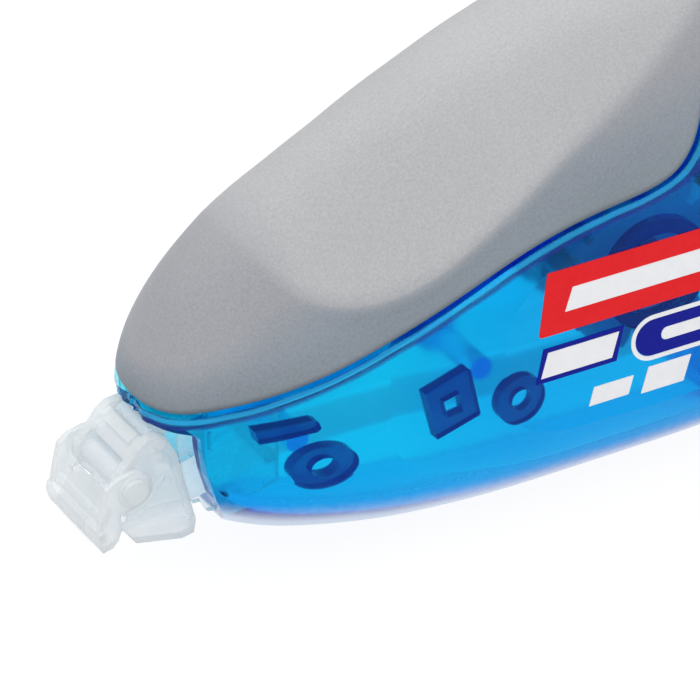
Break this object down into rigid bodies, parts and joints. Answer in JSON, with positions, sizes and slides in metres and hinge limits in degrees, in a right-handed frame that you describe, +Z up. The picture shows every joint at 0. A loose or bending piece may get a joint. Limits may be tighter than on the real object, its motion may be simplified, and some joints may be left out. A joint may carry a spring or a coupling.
{
  "type": "correction tape roller",
  "caption": "Hand-held correction tape roller: clear two-shell housing with a soft dished grip, geared supply and take-up reels, and a rocking applicator blade at the nose.",
  "frame": {"origin": "middle of the flat the roller rests on, on its middle plane", "axes": "+X from the nose to the tail, +Y to the far side, +Z up"},
  "size_m": [0.081, 0.02, 0.038],
  "materials": {
    "shell": "clear tinted, polished",
    "grip": "soft, fine matt grain",
    "red_print": "printed ink",
    "blue_print": "printed ink",
    "white_print": "printed ink",
    "gear": "natural acetal",
    "hub": "natural moulded",
    "disc": "clear",
    "tape": "matt white coating",
    "film": "clear carrier film",
    "spring": "moulded",
    "holder": "clear",
    "head": "frosted translucent",
    "axle": "natural white"
  },
  "bodies": {
    "housing": {"near_housing_shell": "shell", "far_housing_shell": "shell", "soft_grip": "grip", "near_red_print": "red_print", "near_blue_print": "blue_print", "near_white_print": "white_print", "far_red_print": "red_print", "far_blue_print": "blue_print", "far_white_print": "white_print", "tip_holder": "holder", "head_bracket": "head", "head_pin": "axle", "cross_axle": "axle", "tape_feed_run": "tape", "film_return_run": "film"},
    "supply_reel": {"supply_reel_hub": "hub", "supply_reel_disc": "disc", "supply_tape_roll": "tape"},
    "supply_drive": {"supply_gear": "gear", "clutch_spring": "spring"},
    "take_up": {"take_up_reel": "hub", "take_up_gear": "gear", "take_up_film": "film"},
    "applicator": {"applicator_blade": "head", "tape_tip_loop": "film"}
  },
  "joints": [
    {"name": "supply_gear_spin", "type": "hinge", "parent": "housing", "child": "supply_drive", "pos_m": [0.0198, 0, 0.0181], "axis": [0, 1, 0], "continuous": true},
    {"name": "supply_reel_spin", "type": "hinge", "parent": "housing", "child": "supply_reel", "pos_m": [0.0198, 0, 0.0181], "axis": [0, 1, 0], "continuous": true},
    {"name": "take_up_spin", "type": "hinge", "parent": "housing", "child": "take_up", "pos_m": [0.00029, 0, 0.0162], "axis": [0, 1, 0], "continuous": true},
    {"name": "blade_rock", "type": "hinge", "parent": "housing", "child": "applicator", "pos_m": [-0.04055, 0, 0.0081], "axis": [0, 1, 0], "range_deg": [-4, 4], "stiffness_Nm_per_rad": 0.002}
  ],
  "couplings": [
    {"joint": "take_up_spin", "follows": "supply_gear_spin", "ratio": -2.1111},
    {"joint": "supply_reel_spin", "follows": "supply_gear_spin", "ratio": 1}
  ]
}
